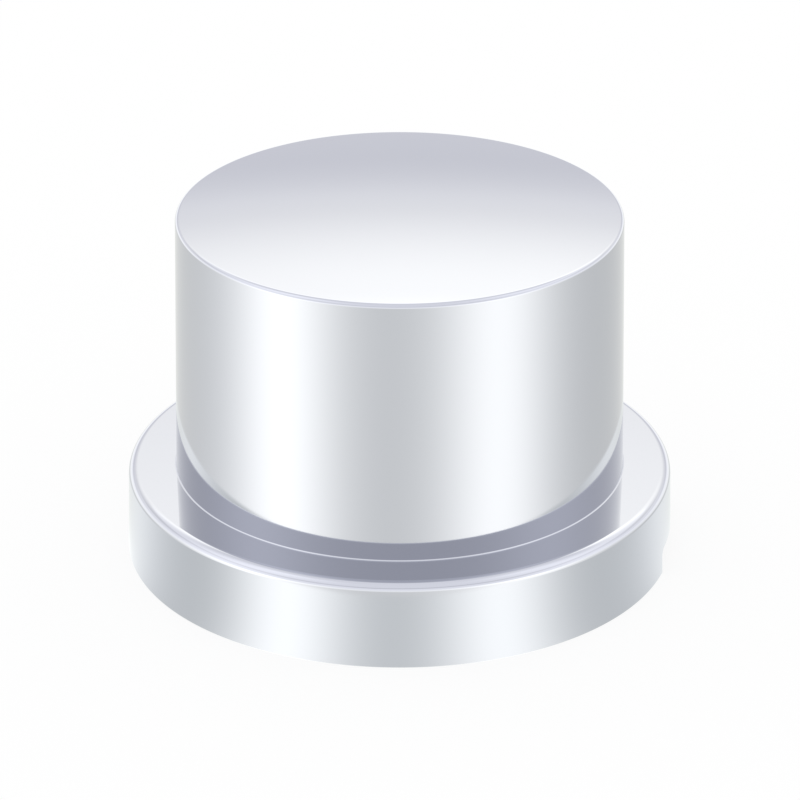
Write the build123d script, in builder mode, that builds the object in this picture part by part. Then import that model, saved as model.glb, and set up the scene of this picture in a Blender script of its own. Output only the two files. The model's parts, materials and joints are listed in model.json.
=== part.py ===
"""Push-on cover for a flanged wheel nut, moulded in one piece and open at the foot.

Millimetres, +Z up. The origin is the centre of the foot, on the plane that the skirt stands on, and the
notch in the skirt's foot is on the +X side.
"""
from build123d import *
from math import cos, pi, tan
import os

# Wheel nut that the cover goes over, and the washer flange at the nut's foot
nut_across_flats = 33.0
nut_flats = 6
washer_radius = 23.0

# Room round the nut's corners and the washer, and the squeeze of the ribs on the nut's flats
corner_clearance = 0.1
washer_clearance = 1.1
grip_interference = 0.1

# Moulded wall, the same all over but for the crown, whose underside is flat
wall = 1.6

# Barrel and its crowned top; the flare is what the draft adds from the rim down to the root
rim_height = 33.5
crown_rise = 0.8
barrel_flare = 0.45
rim_rounding = 0.4
root_chamfer = 0.2

# Flange ring and the skirt below it, which flares down to the foot
flange_height = 8.4
skirt_flare = 0.25
flange_rounding = 0.85

# Grip ribs, a pair on each flat of the nut
rib_thickness = 1.2
rib_pair_spacing = 5.8
rib_setback = 1.0
lead_in_depth = 1.2
lead_in_height = 2.5

# Notch in the skirt's foot
notch_width = 15.6
notch_height = 2.5
notch_corner_rounding = 0.8

# Radii and heights that follow from the nut, the washer and the wall
nut_corner_radius = nut_across_flats / 2 / cos(pi / nut_flats)
bore_top_radius = nut_corner_radius + corner_clearance
bore_root_radius = bore_top_radius + barrel_flare
recess_radius = washer_radius + washer_clearance
rib_crest = nut_across_flats / 2 - grip_interference
barrel_top_radius = bore_top_radius + wall
barrel_root_radius = bore_root_radius + wall
flange_radius = recess_radius + wall
skirt_foot_radius = flange_radius + skirt_flare
bore_top = rim_height - wall
flange_underside = flange_height - wall
rib_foot = flange_underside + rib_setback
crown_radius = (barrel_top_radius**2 + crown_rise**2) / (2 * crown_rise)


def corners_by(section, place):
    """Corners of a section in order of their distance from a place in its plane."""
    return section.vertices().sort_by_distance(place)


def round_with_flats(section, place, radius):
    """Round a square corner by three flats that touch the arc, which turn into far fewer facets than it does."""
    chamfer(corners_by(section, place)[0], length=radius * (1 - tan(pi / 8)))
    chamfer(corners_by(section, place)[:2], length=radius * (tan(pi / 8) - tan(pi / 16)))


# Pair of ribs on the +X flat, each drawn from its side and as thick on both sides of its middle
with BuildPart() as rib_pair:
    with BuildSketch(Plane.XZ.offset(rib_pair_spacing / 2), Plane.XZ.offset(-rib_pair_spacing / 2)):
        with BuildLine():
            Polyline(
                (rib_crest, rim_height),
                (rib_crest, rib_foot + lead_in_height),
                (rib_crest + lead_in_depth, rib_foot),
                (barrel_root_radius, rib_foot),
                (barrel_root_radius, rim_height),
                close=True,
            )
        make_face()
    extrude(amount=rib_thickness / 2, both=True)

# Hollow of the cover: the barrel's bore with a slot for each rib, over the round recess for the washer
with BuildPart() as hollow:
    with BuildSketch(Plane.XZ):
        with BuildLine():
            Polyline(
                (0, bore_top),
                (bore_top_radius, bore_top),
                (bore_root_radius, flange_underside),
                (recess_radius, flange_underside),
                (recess_radius, 0),
                (0, 0),
                close=True,
            )
        make_face()
    revolve(axis=Axis.Z)
    with PolarLocations(0, nut_flats):
        add(rib_pair.part, mode=Mode.SUBTRACT)

with BuildPart() as nut_cover:
    # Outside of the cover, turned from its section
    with BuildSketch(Plane.XZ) as section:
        with BuildLine():
            crown = RadiusArc((0, rim_height + crown_rise), (barrel_top_radius, rim_height), crown_radius)
            Polyline(
                crown @ 1,
                (barrel_root_radius, flange_height),
                (flange_radius, flange_height),
                (skirt_foot_radius, 0),
                (0, 0),
                crown @ 0,
            )
        make_face()
        fillet(corners_by(section, (barrel_top_radius, rim_height))[0], radius=rim_rounding)
        round_with_flats(section, (flange_radius, flange_height), flange_rounding)
        chamfer(corners_by(section, (barrel_root_radius, flange_height))[0], length=root_chamfer)
    revolve(axis=Axis.Z)

    # Hollow with its ribs
    add(hollow.part, mode=Mode.SUBTRACT)

    # Notch out through the skirt's foot, open below, with rounded upper corners
    with BuildSketch(Plane.YZ.offset(barrel_root_radius)) as notch:
        Rectangle(notch_width, notch_height, align=(Align.CENTER, Align.MIN))
        fillet(notch.vertices().group_by(Axis.Y)[-1], radius=notch_corner_rounding)
    extrude(amount=skirt_foot_radius, mode=Mode.SUBTRACT)

nut_cover.part.label = "nut_cover"

os.makedirs("parts", exist_ok=True)
export_step(nut_cover.part, "parts/nut_cover.step")
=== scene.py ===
"""Chrome-plated push-on cover for a flanged wheel nut, in its studio.

The cover is one moulded shell that is turned about +Z, with twelve grip ribs in its hollow and a notch in the
foot of its skirt. It is rebuilt here with all its roundings and stands for the CAD solid. Metres, +Z up; the
camera looks along +Y.
"""
import json
import logging
import math
from dataclasses import dataclass
from enum import Enum
from typing import Any

import bpy
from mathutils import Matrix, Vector


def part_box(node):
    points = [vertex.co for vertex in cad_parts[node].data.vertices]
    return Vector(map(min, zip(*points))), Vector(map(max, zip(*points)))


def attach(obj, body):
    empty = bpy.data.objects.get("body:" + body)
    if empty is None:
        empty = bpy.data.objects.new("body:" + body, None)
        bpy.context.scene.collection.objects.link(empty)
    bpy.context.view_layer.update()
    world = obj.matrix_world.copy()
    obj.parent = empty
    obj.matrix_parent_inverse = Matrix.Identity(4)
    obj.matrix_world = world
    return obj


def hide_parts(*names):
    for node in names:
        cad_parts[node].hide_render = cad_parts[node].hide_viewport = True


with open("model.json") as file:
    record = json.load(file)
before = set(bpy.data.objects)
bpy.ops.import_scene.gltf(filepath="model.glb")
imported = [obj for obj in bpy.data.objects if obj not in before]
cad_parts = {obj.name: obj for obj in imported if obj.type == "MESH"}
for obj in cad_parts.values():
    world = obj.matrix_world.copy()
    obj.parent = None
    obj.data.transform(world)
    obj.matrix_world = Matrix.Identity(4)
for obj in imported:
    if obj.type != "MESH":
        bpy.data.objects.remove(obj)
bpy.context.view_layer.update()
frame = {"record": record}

MM = 0.001

log = logging.getLogger("nut_cover")


# Small helpers

def linear(hex_colour: str) -> tuple[float, float, float, float]:
    """Turn an sRGB hex colour to linear.

    Args:
        hex_colour: The colour as written, such as "#BCBEC5".

    Returns:
        Red, green and blue as Blender's sockets take them, and an alpha of 1.
    """
    channels = [int(hex_colour[i : i + 2], 16) / 255 for i in (1, 3, 5)]
    red, green, blue = (c / 12.92 if c <= 0.04045 else ((c + 0.055) / 1.055) ** 2.4 for c in channels)
    return red, green, blue, 1.0


def per_metre(millimetres: float) -> float:
    """Scale of a noise whose features are that many millimetres across, on coordinates in metres."""
    return 1 / (millimetres * MM)


def add_node(
    tree: bpy.types.NodeTree,
    kind: str,
    inputs: dict[str | int, Any] | None = None,
    **settings: Any,
) -> bpy.types.Node:
    """Add a node with its settings, and give each named input a value or a link.

    Args:
        tree: The node tree that the node goes into.
        kind: The node's type, as Blender names it.
        inputs: Values or output sockets, by the input's name or number.
        settings: Attributes of the node itself.

    Returns:
        The new node.
    """
    node = tree.nodes.new(kind)
    for name, value in settings.items():
        setattr(node, name, value)
    for key, value in (inputs or {}).items():
        if isinstance(value, bpy.types.NodeSocket):
            tree.links.new(value, node.inputs[key])
        else:
            node.inputs[key].default_value = value
    return node


# Finishes

@dataclass(frozen=True)
class Plating:
    """A bright metal coat on moulded ABS.

    The coat copies the polish of the mould, so it mirrors sharply, with the faint swell of a moulded face.
    The swell's width is in millimetres and its height in metres.
    """

    name: str
    colour: str
    roughness: float
    swell_width: float
    swell_height: float

    def material(self) -> bpy.types.Material:
        """Build the material.

        Returns:
            A metal that reads Object coordinates only.
        """
        material = bpy.data.materials.new(self.name)
        material.use_nodes = True
        tree = material.node_tree
        tree.nodes.clear()
        place = add_node(tree, "ShaderNodeTexCoord").outputs["Object"]
        swell = add_node(
            tree,
            "ShaderNodeTexNoise",
            {"Vector": place, "Scale": per_metre(self.swell_width), "Detail": 1.0},
        )
        bump = add_node(
            tree,
            "ShaderNodeBump",
            {"Strength": 1.0, "Distance": self.swell_height, "Height": swell.outputs["Fac"]},
        )
        metal = add_node(
            tree,
            "ShaderNodeBsdfPrincipled",
            {
                "Base Color": linear(self.colour),
                "Metallic": 1.0,
                "Roughness": self.roughness,
                "Normal": bump.outputs["Normal"],
            },
        )
        add_node(tree, "ShaderNodeOutputMaterial", {"Surface": metal.outputs["BSDF"]})
        return material


class Finish(Enum):
    """The two finishes of the cover."""

    # Decorative chrome over bright nickel: a cool, clear mirror with hardly any haze
    CHROME = Plating("bright_chrome_plating", "#BCBEC5", 0.05, swell_width=5.0, swell_height=0.0015 * MM)
    # The same bath deep in the hollow, where the coat is thin: a plainer grey, and hazy
    THIN_PLATE = Plating("thin_nickel_chrome", "#C3C3C5", 0.28, swell_width=3.0, swell_height=0.006 * MM)


# The cover

@dataclass(frozen=True)
class Corner:
    """A corner of the cover's section: its distance from the axis, its height and its rounding."""

    radius: float
    height: float
    rounding: float = 0.0


@dataclass
class NutCover:
    """The moulded shell with its ribs and notch.

    The two sizes without a value come from the frame; the others are the mould's own.
    """

    height: float
    recess_radius: float
    wall: float = 1.6 * MM
    crown_rise: float = 0.8 * MM
    barrel_flare: float = 0.45 * MM
    rim_rounding: float = 0.4 * MM
    root_rounding: float = 0.11 * MM
    flange_height: float = 8.4 * MM
    flange_rounding: float = 0.85 * MM
    skirt_flare: float = 0.25 * MM
    foot_rounding: float = 0.2 * MM
    hollow_rounding: float = 0.3 * MM
    nut_across_flats: float = 33.0 * MM
    nut_flats: int = 6
    corner_clearance: float = 0.1 * MM
    grip_interference: float = 0.1 * MM
    rib_thickness: float = 1.2 * MM
    rib_pair_spacing: float = 5.8 * MM
    rib_setback: float = 1.0 * MM
    lead_in_depth: float = 1.2 * MM
    lead_in_height: float = 2.5 * MM
    notch_width: float = 15.6 * MM
    notch_height: float = 2.5 * MM
    notch_rounding: float = 0.8 * MM
    # How finely the mesh is drawn
    segments: int = 360
    crown_rows: int = 28
    arc_rows: int = 10
    notch_steps: int = 12
    support: float = 0.03 * MM
    sharp_angle: float = math.radians(30)
    weld: float = 0.001 * MM
    # Where the crown's rows stop short of the edge, in rim roundings
    crown_stop: float = 1.5
    # How deep the ribs run into the wall and into the crown, and how far the thin coat reaches, in walls
    rib_root_depth: float = 0.65
    rib_top_depth: float = 0.5
    coat_depth: float = 0.25

    @classmethod
    def from_frame(cls) -> "NutCover":
        """Take the height from the CAD box and the recess from the record's bore.

        Returns:
            The cover with all its sizes.
        """
        lowest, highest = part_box("nut_cover")
        bore = next(mount for mount in frame["record"]["mounts"] if mount["name"] == "washer_recess")
        return cls(height=highest[2] - lowest[2], recess_radius=bore["dims"]["r_mm"] * MM)

    @property
    def rim_height(self) -> float:
        """Height of the rim, where the crown begins."""
        return self.height - self.crown_rise

    @property
    def bore_top_radius(self) -> float:
        """Bore at the top, which just clears the nut's corners."""
        return self.nut_across_flats / 2 / math.cos(math.pi / self.nut_flats) + self.corner_clearance

    @property
    def bore_root_radius(self) -> float:
        """Bore at the root, wider by the mould's draft."""
        return self.bore_top_radius + self.barrel_flare

    @property
    def bore_top(self) -> float:
        """Height of the flat face over the hollow."""
        return self.rim_height - self.wall

    @property
    def flange_underside(self) -> float:
        """Height of the recess over the washer."""
        return self.flange_height - self.wall

    def section(self) -> list[Corner]:
        """Draw the half section by its corners.

        Returns:
            The corners, from the top of the axis round the outside and back up the hollow.
        """
        rim_radius = self.bore_top_radius + self.wall
        flange_radius = self.recess_radius + self.wall
        crown_radius = (rim_radius**2 + self.crown_rise**2) / (2 * self.crown_rise)
        crown = []
        for row in range(self.crown_rows):
            radius = (rim_radius - self.crown_stop * self.rim_rounding) * row / (self.crown_rows - 1)
            drop = crown_radius - math.sqrt(crown_radius**2 - radius**2)
            crown.append(Corner(radius, self.height - drop))
        return [
            *crown,
            Corner(rim_radius, self.rim_height, self.rim_rounding),
            Corner(self.bore_root_radius + self.wall, self.flange_height, self.root_rounding),
            Corner(flange_radius, self.flange_height, self.flange_rounding),
            Corner(flange_radius + self.skirt_flare, 0.0, self.foot_rounding),
            Corner(self.recess_radius, 0.0, self.foot_rounding),
            Corner(self.recess_radius, self.flange_underside, self.hollow_rounding),
            Corner(self.bore_root_radius, self.flange_underside, self.hollow_rounding),
            Corner(self.bore_top_radius, self.bore_top, self.hollow_rounding),
            Corner(0.0, self.bore_top),
        ]

    def outline(self) -> list[tuple[float, float]]:
        """Round the section's corners by arcs.

        Returns:
            Distances from the axis and heights, in order, with a row just outside each end of an arc, which
            keeps the faces beside it flat.
        """
        corners = self.section()
        points: list[tuple[float, float]] = []
        for index, corner in enumerate(corners):
            here = Vector((corner.radius, corner.height))
            if not corner.rounding:
                points.append(tuple(here))
                continue
            back, ahead = corners[index - 1], corners[index + 1]
            to_back = (Vector((back.radius, back.height)) - here).normalized()
            to_ahead = (Vector((ahead.radius, ahead.height)) - here).normalized()
            half = to_back.angle(to_ahead) / 2
            reach = corner.rounding / math.tan(half)
            centre = here + (to_back + to_ahead).normalized() * corner.rounding / math.sin(half)
            points.append(tuple(here + to_back * (reach + self.support)))
            start = here + to_back * reach - centre
            sweep = start.angle_signed(here + to_ahead * reach - centre)
            for step in range(self.arc_rows + 1):
                turn = -sweep * step / self.arc_rows
                turned = Vector(
                    (
                        start.x * math.cos(turn) - start.y * math.sin(turn),
                        start.x * math.sin(turn) + start.y * math.cos(turn),
                    )
                )
                points.append(tuple(centre + turned))
            points.append(tuple(here + to_ahead * (reach + self.support)))
        return points

    def sizes(self) -> dict[str, Any]:
        """Work out the values of the tree's inputs.

        Returns:
            Whole numbers, lengths, angles and places, by the input's name. A rib is drawn as a block with its
            corners in three rows, and a quarter of its height tells the rows apart.
        """
        rib_crest = self.nut_across_flats / 2 - self.grip_interference
        rib_root = self.bore_top_radius + self.rib_root_depth * self.wall
        rib_foot = self.flange_underside + self.rib_setback
        rib_top = self.bore_top + self.rib_top_depth * self.wall
        rise = rib_top - rib_foot
        coat = self.coat_depth * self.wall
        return {
            "Columns": self.segments + 1,
            "Column Turn": math.tau / self.segments,
            "Weld": self.weld,
            "Rib Size": (rib_root - rib_crest, self.rib_thickness, rise),
            "Rib Middle": ((rib_root + rib_crest) / 2, 0.0, (rib_top + rib_foot) / 2),
            "Foot Zone": -rise / 4,
            "Middle Zone": rise / 4,
            "Lead-in Step": (self.lead_in_depth, 0.0, 0.0),
            "Lead-in Start": (0.0, 0.0, self.lead_in_height - rise / 2),
            "Pair Start": (0.0, -self.rib_pair_spacing / 2, 0.0),
            "Pair Step": (0.0, self.rib_pair_spacing, 0.0),
            "Nut Flats": self.nut_flats,
            "Flat Turn": math.tau / self.nut_flats,
            "Notch Width": self.notch_width,
            "Notch Both Ways": 2 * self.notch_height,
            "Notch Rounding": self.notch_rounding,
            "Notch Steps": self.notch_steps,
            "Notch Inner End": (rib_root, 0.0, 0.0),
            "Notch Outer End": (2 * rib_root, 0.0, 0.0),
            "Sharp Angle": self.sharp_angle,
            "Bore Reach": self.bore_root_radius + coat,
            "Bore Top": self.bore_top + coat,
            "Recess Reach": self.recess_radius + coat,
            "Recess Top": self.flange_underside + coat,
        }

    def tree(self, values: dict[str, Any]) -> bpy.types.NodeTree:
        """Build the Geometry Nodes tree that turns the section, adds the ribs and cuts the notch.

        Args:
            values: The value of each input, whose type gives the type of the input.

        Returns:
            The tree, with an input for each of the values.
        """
        sockets = {
            int: "NodeSocketInt",
            float: "NodeSocketFloat",
            tuple: "NodeSocketVector",
            bpy.types.Material: "NodeSocketMaterial",
        }
        tree = bpy.data.node_groups.new("moulded_cover", "GeometryNodeTree")
        tree.interface.new_socket("Outline", in_out="INPUT", socket_type="NodeSocketGeometry")
        for name, value in values.items():
            tree.interface.new_socket(name, in_out="INPUT", socket_type=sockets[type(value)])
        tree.interface.new_socket("Cover", in_out="OUTPUT", socket_type="NodeSocketGeometry")
        given = add_node(tree, "NodeGroupInput").outputs
        index = add_node(tree, "GeometryNodeInputIndex").outputs[0]
        position = add_node(tree, "GeometryNodeInputPosition").outputs[0]
        place = add_node(tree, "ShaderNodeSeparateXYZ", {0: position}).outputs

        # The outline turned about the axis: one column of the grid for each step of the turn
        rows = add_node(tree, "GeometryNodeAttributeDomainSize", {"Geometry": given["Outline"]}).outputs[0]
        grid = add_node(tree, "GeometryNodeMeshGrid", {"Vertices X": given["Columns"], "Vertices Y": rows})
        row = add_node(tree, "FunctionNodeIntegerMath", {0: index, 1: rows}, operation="MODULO")
        column = add_node(tree, "FunctionNodeIntegerMath", {0: index, 1: rows}, operation="DIVIDE_FLOOR")
        drawn = add_node(
            tree,
            "GeometryNodeSampleIndex",
            {"Geometry": given["Outline"], "Value": position, "Index": row.outputs[0]},
            data_type="FLOAT_VECTOR",
            domain="POINT",
        )
        turn = add_node(
            tree, "ShaderNodeMath", {0: column.outputs[0], 1: given["Column Turn"]}, operation="MULTIPLY"
        )
        turned = add_node(
            tree,
            "ShaderNodeVectorRotate",
            {"Vector": drawn.outputs["Value"], "Angle": turn.outputs[0]},
            rotation_type="Z_AXIS",
        )
        wrapped = add_node(
            tree, "GeometryNodeSetPosition", {"Geometry": grid.outputs["Mesh"], "Position": turned.outputs[0]}
        )
        shell = add_node(
            tree, "GeometryNodeMergeByDistance", {"Geometry": wrapped.outputs[0], "Distance": given["Weld"]}
        )

        # One rib: a block whose crest runs back at its foot as a lead-in for the nut
        block = add_node(
            tree,
            "GeometryNodeMeshCube",
            {"Size": given["Rib Size"], "Vertices X": 2, "Vertices Y": 2, "Vertices Z": 3},
        )
        at_foot = add_node(
            tree, "FunctionNodeCompare", {"A": place["Z"], "B": given["Foot Zone"]}, operation="LESS_THAN"
        )
        at_crest = add_node(tree, "FunctionNodeCompare", {"A": place["X"], "B": 0.0}, operation="LESS_THAN")
        set_back = add_node(
            tree, "FunctionNodeBooleanMath", {0: at_foot.outputs[0], 1: at_crest.outputs[0]}, operation="AND"
        )
        at_middle = add_node(
            tree,
            "FunctionNodeCompare",
            {"A": place["Z"], "B": 0.0, "Epsilon": given["Middle Zone"]},
            operation="EQUAL",
        )
        sloped = add_node(
            tree,
            "GeometryNodeSetPosition",
            {
                "Geometry": block.outputs["Mesh"],
                "Selection": set_back.outputs[0],
                "Offset": given["Lead-in Step"],
            },
        )
        shaped = add_node(
            tree,
            "GeometryNodeSetPosition",
            {
                "Geometry": sloped.outputs[0],
                "Selection": at_middle.outputs[0],
                "Offset": given["Lead-in Start"],
            },
        )
        rib = add_node(
            tree, "GeometryNodeTransform", {"Geometry": shaped.outputs[0], "Translation": given["Rib Middle"]}
        )

        # A pair of ribs on each flat of the nut, joined to the shell
        two = add_node(
            tree,
            "GeometryNodeMeshLine",
            {"Count": 2, "Start Location": given["Pair Start"], "Offset": given["Pair Step"]},
        )
        pair = add_node(
            tree, "GeometryNodeInstanceOnPoints", {"Points": two.outputs[0], "Instance": rib.outputs[0]}
        )
        flats = add_node(
            tree, "GeometryNodeMeshLine", {"Count": given["Nut Flats"], "Offset": (0.0, 0.0, 0.0)}
        )
        flat_turn = add_node(tree, "ShaderNodeMath", {0: index, 1: given["Flat Turn"]}, operation="MULTIPLY")
        facing = add_node(tree, "ShaderNodeCombineXYZ", {"Z": flat_turn.outputs[0]})
        around = add_node(
            tree,
            "GeometryNodeInstanceOnPoints",
            {"Points": flats.outputs[0], "Instance": pair.outputs[0], "Rotation": facing.outputs[0]},
        )
        ribs = add_node(tree, "GeometryNodeRealizeInstances", {"Geometry": around.outputs[0]})
        ribbed = add_node(tree, "GeometryNodeMeshBoolean", operation="UNION", solver="EXACT")
        for part in (shell, ribs):
            tree.links.new(part.outputs[0], ribbed.inputs["Mesh 2"])

        # The notch: a block with rounded edges, as far below the foot as above it
        mouth = add_node(
            tree,
            "GeometryNodeCurvePrimitiveQuadrilateral",
            {"Width": given["Notch Width"], "Height": given["Notch Both Ways"]},
        )
        rounded = add_node(
            tree,
            "GeometryNodeFilletCurve",
            {"Curve": mouth.outputs[0], "Count": given["Notch Steps"], "Radius": given["Notch Rounding"]},
            mode="POLY",
        )
        way_out = add_node(
            tree,
            "GeometryNodeCurvePrimitiveLine",
            {"Start": given["Notch Inner End"], "End": given["Notch Outer End"]},
        )
        upright = add_node(tree, "GeometryNodeSetCurveNormal", {"Curve": way_out.outputs[0]}, mode="Z_UP")
        cutter = add_node(
            tree,
            "GeometryNodeCurveToMesh",
            {"Curve": upright.outputs[0], "Profile Curve": rounded.outputs[0], "Fill Caps": True},
        )
        notched = add_node(
            tree,
            "GeometryNodeMeshBoolean",
            {"Mesh 1": ribbed.outputs["Mesh"], "Mesh 2": cutter.outputs[0]},
            operation="DIFFERENCE",
            solver="EXACT",
        )

        # Smooth faces, with every edge sharp that is no rounding
        smooth = add_node(
            tree, "GeometryNodeSetShadeSmooth", {"Geometry": notched.outputs["Mesh"]}, domain="FACE"
        )
        bend = add_node(tree, "GeometryNodeInputMeshEdgeAngle").outputs["Unsigned Angle"]
        sharp = add_node(
            tree, "FunctionNodeCompare", {"A": bend, "B": given["Sharp Angle"]}, operation="GREATER_THAN"
        )
        creased = add_node(
            tree,
            "GeometryNodeSetShadeSmooth",
            {"Geometry": smooth.outputs[0], "Selection": sharp.outputs[0], "Shade Smooth": False},
            domain="EDGE",
        )

        # The thin coat on all that lies inside the bore or the recess
        level = add_node(
            tree, "ShaderNodeVectorMath", {0: position, 1: (1.0, 1.0, 0.0)}, operation="MULTIPLY"
        )
        from_axis = add_node(tree, "ShaderNodeVectorMath", {0: level.outputs[0]}, operation="LENGTH")
        zones = []
        for reach, top in (("Bore Reach", "Bore Top"), ("Recess Reach", "Recess Top")):
            near = add_node(
                tree,
                "FunctionNodeCompare",
                {"A": from_axis.outputs["Value"], "B": given[reach]},
                operation="LESS_THAN",
            )
            under = add_node(
                tree, "FunctionNodeCompare", {"A": place["Z"], "B": given[top]}, operation="LESS_THAN"
            )
            inside = add_node(
                tree, "FunctionNodeBooleanMath", {0: near.outputs[0], 1: under.outputs[0]}, operation="AND"
            )
            zones.append(inside.outputs[0])
        hollow = add_node(tree, "FunctionNodeBooleanMath", {0: zones[0], 1: zones[1]}, operation="OR")
        whole = add_node(tree, "GeometryNodeRealizeInstances", {"Geometry": creased.outputs[0]})
        dressed = add_node(
            tree, "GeometryNodeSetMaterial", {"Geometry": whole.outputs[0], "Material": given["Outside"]}
        )
        lined = add_node(
            tree,
            "GeometryNodeSetMaterial",
            {"Geometry": dressed.outputs[0], "Selection": hollow.outputs[0], "Material": given["Hollow"]},
        )
        add_node(tree, "NodeGroupOutput", {"Cover": lined.outputs[0]})
        return tree

    def build(self) -> bpy.types.Object:
        """Mould the cover and put it in the place of the CAD solid.

        Returns:
            The finished piece, a plain mesh.
        """
        drawing = bpy.data.meshes.new("section_line")
        points = self.outline()
        drawing.from_pydata(
            [(radius, 0.0, height) for radius, height in points],
            [(i, i + 1) for i in range(len(points) - 1)],
            [],
        )
        blank = bpy.data.objects.new("blank", drawing)
        bpy.context.collection.objects.link(blank)
        values = {
            **self.sizes(),
            "Outside": Finish.CHROME.value.material(),
            "Hollow": Finish.THIN_PLATE.value.material(),
        }
        modifier = blank.modifiers.new("moulding", "NODES")
        modifier.node_group = self.tree(values)
        for socket in modifier.node_group.interface.items_tree:
            if socket.name in values:
                modifier[socket.identifier] = values[socket.name]
        graph = bpy.context.evaluated_depsgraph_get()
        mesh = bpy.data.meshes.new_from_object(
            blank.evaluated_get(graph), preserve_all_data_layers=True, depsgraph=graph
        )
        bpy.data.objects.remove(blank)
        for slot in reversed(range(len(mesh.materials))):
            if mesh.materials[slot] is None:
                mesh.materials.pop(index=slot)
        mesh.name = "moulded_nut_cover"
        piece = bpy.data.objects.new("moulded_nut_cover", mesh)
        bpy.context.collection.objects.link(piece)
        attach(piece, "root")
        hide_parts("nut_cover")
        return piece


# The studio

@dataclass(frozen=True)
class Panel:
    """A lit panel of the studio, as the plating mirrors it.

    Angles are in degrees. The azimuth starts at the camera's side and grows to the camera's right, and the
    light falls off softly to both sides by the spread. Each edge is soft too: it gives the height at which
    the panel is gone and the height at which it shows in full.
    """

    azimuth: float
    spread: float
    strength: float
    colour: str = "#FFFFFF"
    edges: tuple[tuple[float, float], ...] = ()

    def add_light(
        self,
        tree: bpy.types.NodeTree,
        heading: bpy.types.NodeSocket,
        height: bpy.types.NodeSocket,
        others: bpy.types.NodeSocket,
    ) -> bpy.types.NodeSocket:
        """Add the panel's light to the light of the others.

        Args:
            tree: The node tree to build in.
            heading: The level direction in which the plating looks.
            height: The sine of its height.
            others: The light so far, as a vector.

        Returns:
            The light with the panel's own.
        """
        angle = math.radians(self.azimuth)
        narrowness = 1 / math.radians(self.spread) ** 2
        toward = add_node(
            tree,
            "ShaderNodeVectorMath",
            {0: heading, 1: (math.sin(angle), -math.cos(angle), 0.0)},
            operation="DOT_PRODUCT",
        )
        fall = add_node(
            tree,
            "ShaderNodeMath",
            {0: toward.outputs["Value"], 1: narrowness, 2: -narrowness},
            operation="MULTIPLY_ADD",
        )
        glow = add_node(tree, "ShaderNodeMath", {0: fall.outputs[0]}, operation="EXPONENT")
        for gone, full in self.edges:
            edge = add_node(
                tree,
                "ShaderNodeMapRange",
                {
                    "Value": height,
                    "From Min": math.sin(math.radians(gone)),
                    "From Max": math.sin(math.radians(full)),
                },
                interpolation_type="SMOOTHSTEP",
            )
            glow = add_node(
                tree, "ShaderNodeMath", {0: glow.outputs[0], 1: edge.outputs[0]}, operation="MULTIPLY"
            )
        light = tuple(self.strength * channel for channel in linear(self.colour)[:3])
        lit = add_node(
            tree, "ShaderNodeVectorMath", {0: glow.outputs[0], 1: light, 2: others}, operation="MULTIPLY_ADD"
        )
        return lit.outputs[0]


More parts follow.
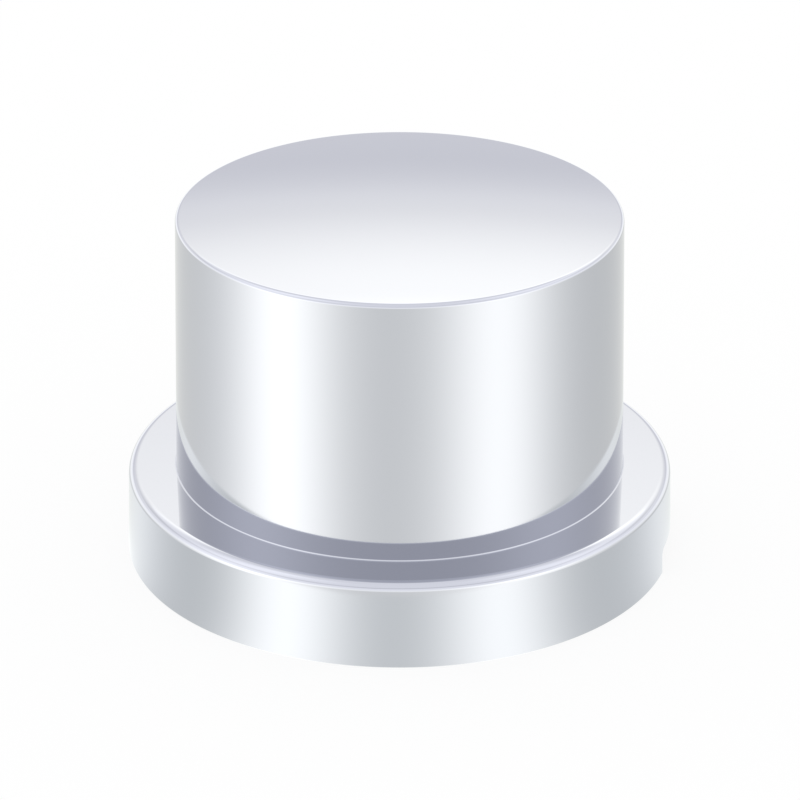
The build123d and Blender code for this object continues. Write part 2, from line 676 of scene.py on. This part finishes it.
@dataclass
class Studio:
    """White floor, a table that glows with painted light, soft sky and camera.

    The sky is white for the camera and for diffuse light. In the plating it is the same white with the lit
    panels of the studio in it, because bare white would leave a mirror with nothing to show.
    """

    # The camera; its lens and sensor in millimetres, its elevation in degrees
    lens: float = 180.0
    sensor_width: float = 36.0
    distance: float = 0.3775
    elevation: float = 25.35
    target_height: float = 0.015
    shift_x: float = 0.00044
    shift_y: float = -0.0066
    nearest: float = 0.01
    farthest: float = 10.0
    # The floor, and how much of the cover's shadow the camera sees on it
    floor_size: float = 4.0
    shadow_share: float = 0.15
    # The plain surround: its colours below and above, with the heights in degrees between which they change,
    # and its levels before and behind the cover, with the Y of the direction between which they change
    surround_low: str = "#F9FAF7"
    surround_high: str = "#F9F9FF"
    surround_change: tuple[float, float] = (-10.0, 15.0)
    surround_front: float = 1.05
    surround_behind: float = 0.95
    surround_depth: tuple[float, float] = (-0.2, 0.9)
    panels: tuple[Panel, ...] = (
        # Tall lamps at the sides, up to eye level, for the bright bands of the barrel
        Panel(azimuth=-61.0, spread=22.0, strength=1.00, colour="#FFFDF5", edges=((8.0, -6.0),)),
        Panel(azimuth=-105.0, spread=25.0, strength=0.12, edges=((8.0, -6.0),)),
        Panel(azimuth=51.0, spread=22.5, strength=0.90, colour="#FFFDF5", edges=((8.0, -6.0),)),
        # Softer light over them, for the rim and the flange's edge
        Panel(azimuth=-76.0, spread=24.0, strength=0.42, edges=((-4.0, 8.0), (78.0, 60.0))),
        Panel(azimuth=82.0, spread=24.0, strength=0.33, edges=((-4.0, 8.0), (78.0, 60.0))),
        # Low lamps further back, for the same edges near the cover's sides
        Panel(
            azimuth=-130.0, spread=18.0, strength=0.30, colour="#FFFDF2", edges=((-12.0, -2.0), (25.0, 21.0))
        ),
        Panel(
            azimuth=130.0, spread=18.0, strength=0.28, colour="#FFFDF2", edges=((-12.0, -2.0), (25.0, 21.0))
        ),
        # The lamp over and behind the cover, which the crown mirrors
        Panel(
            azimuth=174.0, spread=30.0, strength=0.94, colour="#FFFDEC", edges=((16.0, 32.0), (54.0, 42.0))
        ),
        # Glow at eye level before and behind the cover
        Panel(azimuth=0.0, spread=60.0, strength=0.38, edges=((-17.0, -6.0), (23.5, 21.0))),
        Panel(azimuth=180.0, spread=50.0, strength=0.45, edges=((-17.0, -4.0), (13.0, 8.0))),
        # Light from overhead, so wide that it is even all round; the gap under it makes the ring's dark band
        Panel(azimuth=0.0, spread=500.0, strength=0.25, edges=((31.5, 34.5),)),
    )
    # The table, which glows with painted light: its sheet, where its light ends and over what length, its
    # colour and its plain level
    table_size: float = 96.0 * MM
    table_height: float = 0.02 * MM
    table_reach: float = 41.8 * MM
    table_fade: float = 1.0 * MM
    table_colour: str = "#FCFFFD"
    table_level: float = 0.92
    # The painted bands of light on it, by their azimuths in the skirt; at any reach from the axis, a radian
    # of them is as long as the reach times the growth, less the start
    band_growth: float = 1.92
    band_start: float = 23.7 * MM
    table_lights: tuple[Panel, ...] = (
        Panel(azimuth=-24.0, spread=9.8, strength=1.04, colour="#FFFDF5"),
        Panel(azimuth=21.3, spread=10.0, strength=0.95, colour="#FFFDF5"),
        Panel(azimuth=-76.0, spread=12.0, strength=0.35),
        Panel(azimuth=76.0, spread=12.0, strength=0.33),
    )

    def camera(self) -> bpy.types.Object:
        """Place the camera at the photograph's viewing angle.

        Returns:
            The camera.
        """
        data = bpy.data.cameras.new("camera")
        data.lens = self.lens
        data.sensor_width = self.sensor_width
        data.shift_x, data.shift_y = self.shift_x, self.shift_y
        data.clip_start, data.clip_end = self.nearest, self.farthest
        camera = bpy.data.objects.new("camera", data)
        tilt = math.radians(self.elevation)
        camera.location = (
            0.0,
            -self.distance * math.cos(tilt),
            self.target_height + self.distance * math.sin(tilt),
        )
        camera.rotation_euler = (math.pi / 2 - tilt, 0.0, 0.0)
        bpy.context.collection.objects.link(camera)
        bpy.context.scene.camera = camera
        return camera

    def sheet(self, name: str, size: float, height: float) -> tuple[bpy.types.Object, bpy.types.NodeTree]:
        """Lay a square sheet of the stage.

        Args:
            name: The name of the sheet and of its material.
            size: The length of a side.
            height: The level at which it lies.

        Returns:
            The sheet, and the empty node tree of its material.
        """
        half = size / 2
        corners = [(-half, -half, height), (half, -half, height), (half, half, height), (-half, half, height)]
        mesh = bpy.data.meshes.new(name)
        mesh.from_pydata(corners, [], [(0, 1, 2, 3)])
        material = bpy.data.materials.new(name)
        material.use_nodes = True
        material.node_tree.nodes.clear()
        mesh.materials.append(material)
        sheet = bpy.data.objects.new(name, mesh)
        bpy.context.collection.objects.link(sheet)
        return sheet, material.node_tree

    def floor(self) -> bpy.types.Object:
        """Lay the white floor, which keeps a light shadow of the cover and is clear from below.

        Returns:
            The floor.
        """
        floor, tree = self.sheet("white_paper", self.floor_size, 0.0)
        floor.visible_glossy = False
        paper = add_node(tree, "ShaderNodeBsdfDiffuse", {"Color": (1.0, 1.0, 1.0, 1.0)})
        white = add_node(tree, "ShaderNodeEmission", {"Strength": 1.0})
        ray = add_node(tree, "ShaderNodeLightPath")
        lifted = add_node(
            tree,
            "ShaderNodeMath",
            {0: ray.outputs["Is Camera Ray"], 1: 1 - self.shadow_share},
            operation="MULTIPLY",
        )
        upper = add_node(
            tree,
            "ShaderNodeMixShader",
            {0: lifted.outputs[0], 1: paper.outputs[0], 2: white.outputs[0]},
        )
        clear = add_node(tree, "ShaderNodeBsdfTransparent")
        side = add_node(tree, "ShaderNodeNewGeometry")
        surface = add_node(
            tree,
            "ShaderNodeMixShader",
            {0: side.outputs["Backfacing"], 1: upper.outputs[0], 2: clear.outputs[0]},
        )
        add_node(tree, "ShaderNodeOutputMaterial", {"Surface": surface.outputs[0]})
        return floor

    def table(self) -> bpy.types.Object:
        """Lay the table close round the cover, which only the plating sees.

        It glows with painted light: a plain level with painted bands of lamp light that run out from the
        cover, and the skirt mirrors them as bright bands of its own. No lamp lights the sheet. Further out
        the plating sees the sky's lower half instead.

        Returns:
            The table.
        """
        table, tree = self.sheet("painted_light_table", self.table_size, self.table_height)
        table.visible_camera = False
        table.visible_diffuse = False
        table.visible_transmission = False
        table.visible_shadow = False
        place = add_node(tree, "ShaderNodeTexCoord").outputs["Object"]
        reach = add_node(tree, "ShaderNodeVectorMath", {0: place}, operation="LENGTH").outputs["Value"]
        heading = add_node(tree, "ShaderNodeVectorMath", {0: place}, operation="NORMALIZE").outputs[0]
        parts = add_node(tree, "ShaderNodeSeparateXYZ", {0: heading}).outputs

        # The painted bands of light spread as they run out, so that they stand upright in the skirt
        front = add_node(tree, "ShaderNodeMath", {0: parts["Y"], 1: -1.0}, operation="MULTIPLY")
        turn = add_node(tree, "ShaderNodeMath", {0: parts["X"], 1: front.outputs[0]}, operation="ARCTAN2")
        arc = add_node(tree, "ShaderNodeMath", {0: turn.outputs[0], 1: reach}, operation="MULTIPLY")
        spread = add_node(
            tree,
            "ShaderNodeMath",
            {0: reach, 1: self.band_growth, 2: -self.band_start},
            operation="MULTIPLY_ADD",
        )
        angle = add_node(
            tree, "ShaderNodeMath", {0: arc.outputs[0], 1: spread.outputs[0]}, operation="DIVIDE"
        )
        mirrored = add_node(
            tree,
            "ShaderNodeVectorRotate",
            {"Vector": (0.0, -1.0, 0.0), "Angle": angle.outputs[0]},
            rotation_type="Z_AXIS",
        )
        # The table's painted light: a plain glowing level with painted bands of lamp light added, given off
        # by the sheet itself
        red, green, blue = (self.table_level * channel for channel in linear(self.table_colour)[:3])
        light = add_node(tree, "ShaderNodeCombineXYZ", {"X": red, "Y": green, "Z": blue}).outputs[0]
        for panel in self.table_lights:
            light = panel.add_light(tree, mirrored.outputs[0], parts["Z"], light)
        glow = add_node(tree, "ShaderNodeEmission", {"Color": light, "Strength": 1.0})

        on_table = add_node(
            tree,
            "ShaderNodeMapRange",
            {
                "Value": reach,
                "From Min": self.table_reach,
                "From Max": self.table_reach - self.table_fade,
            },
            interpolation_type="SMOOTHSTEP",
        )
        clear = add_node(tree, "ShaderNodeBsdfTransparent")
        surface = add_node(
            tree, "ShaderNodeMixShader", {0: on_table.outputs[0], 1: clear.outputs[0], 2: glow.outputs[0]}
        )
        add_node(tree, "ShaderNodeOutputMaterial", {"Surface": surface.outputs[0]})
        return table

    def sky(self) -> bpy.types.World:
        """Build the world: white, with the panels in it for the plating.

        Returns:
            The world.
        """
        world = bpy.data.worlds.new("studio")
        bpy.context.scene.world = world
        world.use_nodes = True
        tree = world.node_tree
        tree.nodes.clear()
        direction = add_node(tree, "ShaderNodeTexCoord").outputs["Generated"]
        parts = add_node(tree, "ShaderNodeSeparateXYZ", {0: direction}).outputs
        level = add_node(
            tree, "ShaderNodeVectorMath", {0: direction, 1: (1.0, 1.0, 0.0)}, operation="MULTIPLY"
        )
        heading = add_node(
            tree, "ShaderNodeVectorMath", {0: level.outputs[0]}, operation="NORMALIZE"
        ).outputs[0]

        # Paper below and cool walls above, a little darker behind the cover; inputs 6 and 7 are the colours
        lowest, highest = (math.sin(math.radians(height)) for height in self.surround_change)
        upward = add_node(
            tree,
            "ShaderNodeMapRange",
            {"Value": parts["Z"], "From Min": lowest, "From Max": highest},
            interpolation_type="SMOOTHSTEP",
        )
        around = add_node(
            tree,
            "ShaderNodeMix",
            {0: upward.outputs[0], 6: linear(self.surround_low), 7: linear(self.surround_high)},
            data_type="RGBA",
        )
        nearer, farther = self.surround_depth
        behind = add_node(
            tree,
            "ShaderNodeMapRange",
            {
                "Value": parts["Y"],
                "From Min": nearer,
                "From Max": farther,
                "To Min": self.surround_front,
                "To Max": self.surround_behind,
            },
            interpolation_type="SMOOTHSTEP",
        )
        light = add_node(
            tree, "ShaderNodeVectorMath", {0: around.outputs[2], 1: behind.outputs[0]}, operation="MULTIPLY"
        ).outputs[0]
        for panel in self.panels:
            light = panel.add_light(tree, heading, parts["Z"], light)
        plain = add_node(tree, "ShaderNodeBackground", {"Color": (1.0, 1.0, 1.0, 1.0), "Strength": 1.0})
        mirrored = add_node(tree, "ShaderNodeBackground", {"Color": light, "Strength": 1.0})
        ray = add_node(tree, "ShaderNodeLightPath")
        either = add_node(
            tree,
            "ShaderNodeMixShader",
            {0: ray.outputs["Is Glossy Ray"], 1: plain.outputs[0], 2: mirrored.outputs[0]},
        )
        add_node(tree, "ShaderNodeOutputWorld", {"Surface": either.outputs[0]})
        return world

    def build(self) -> list[bpy.types.ID]:
        """Set up the studio.

        Returns:
            The camera, the floor, the table and the world.
        """
        bpy.context.scene.view_settings.view_transform = "Standard"
        return [self.camera(), self.floor(), self.table(), self.sky()]


def main() -> None:
    """Build the cover and its studio, and report each piece."""
    logging.basicConfig(level=logging.INFO, format="%(name)s: %(message)s")
    cover = NutCover.from_frame().build()
    finishes = ", ".join(material.name for material in cover.data.materials)
    log.info("%s: %d faces, in %s", cover.name, len(cover.data.polygons), finishes)
    for piece in Studio().build():
        log.info("%s: in place", piece.name)


if __name__ == "__main__":
    main()
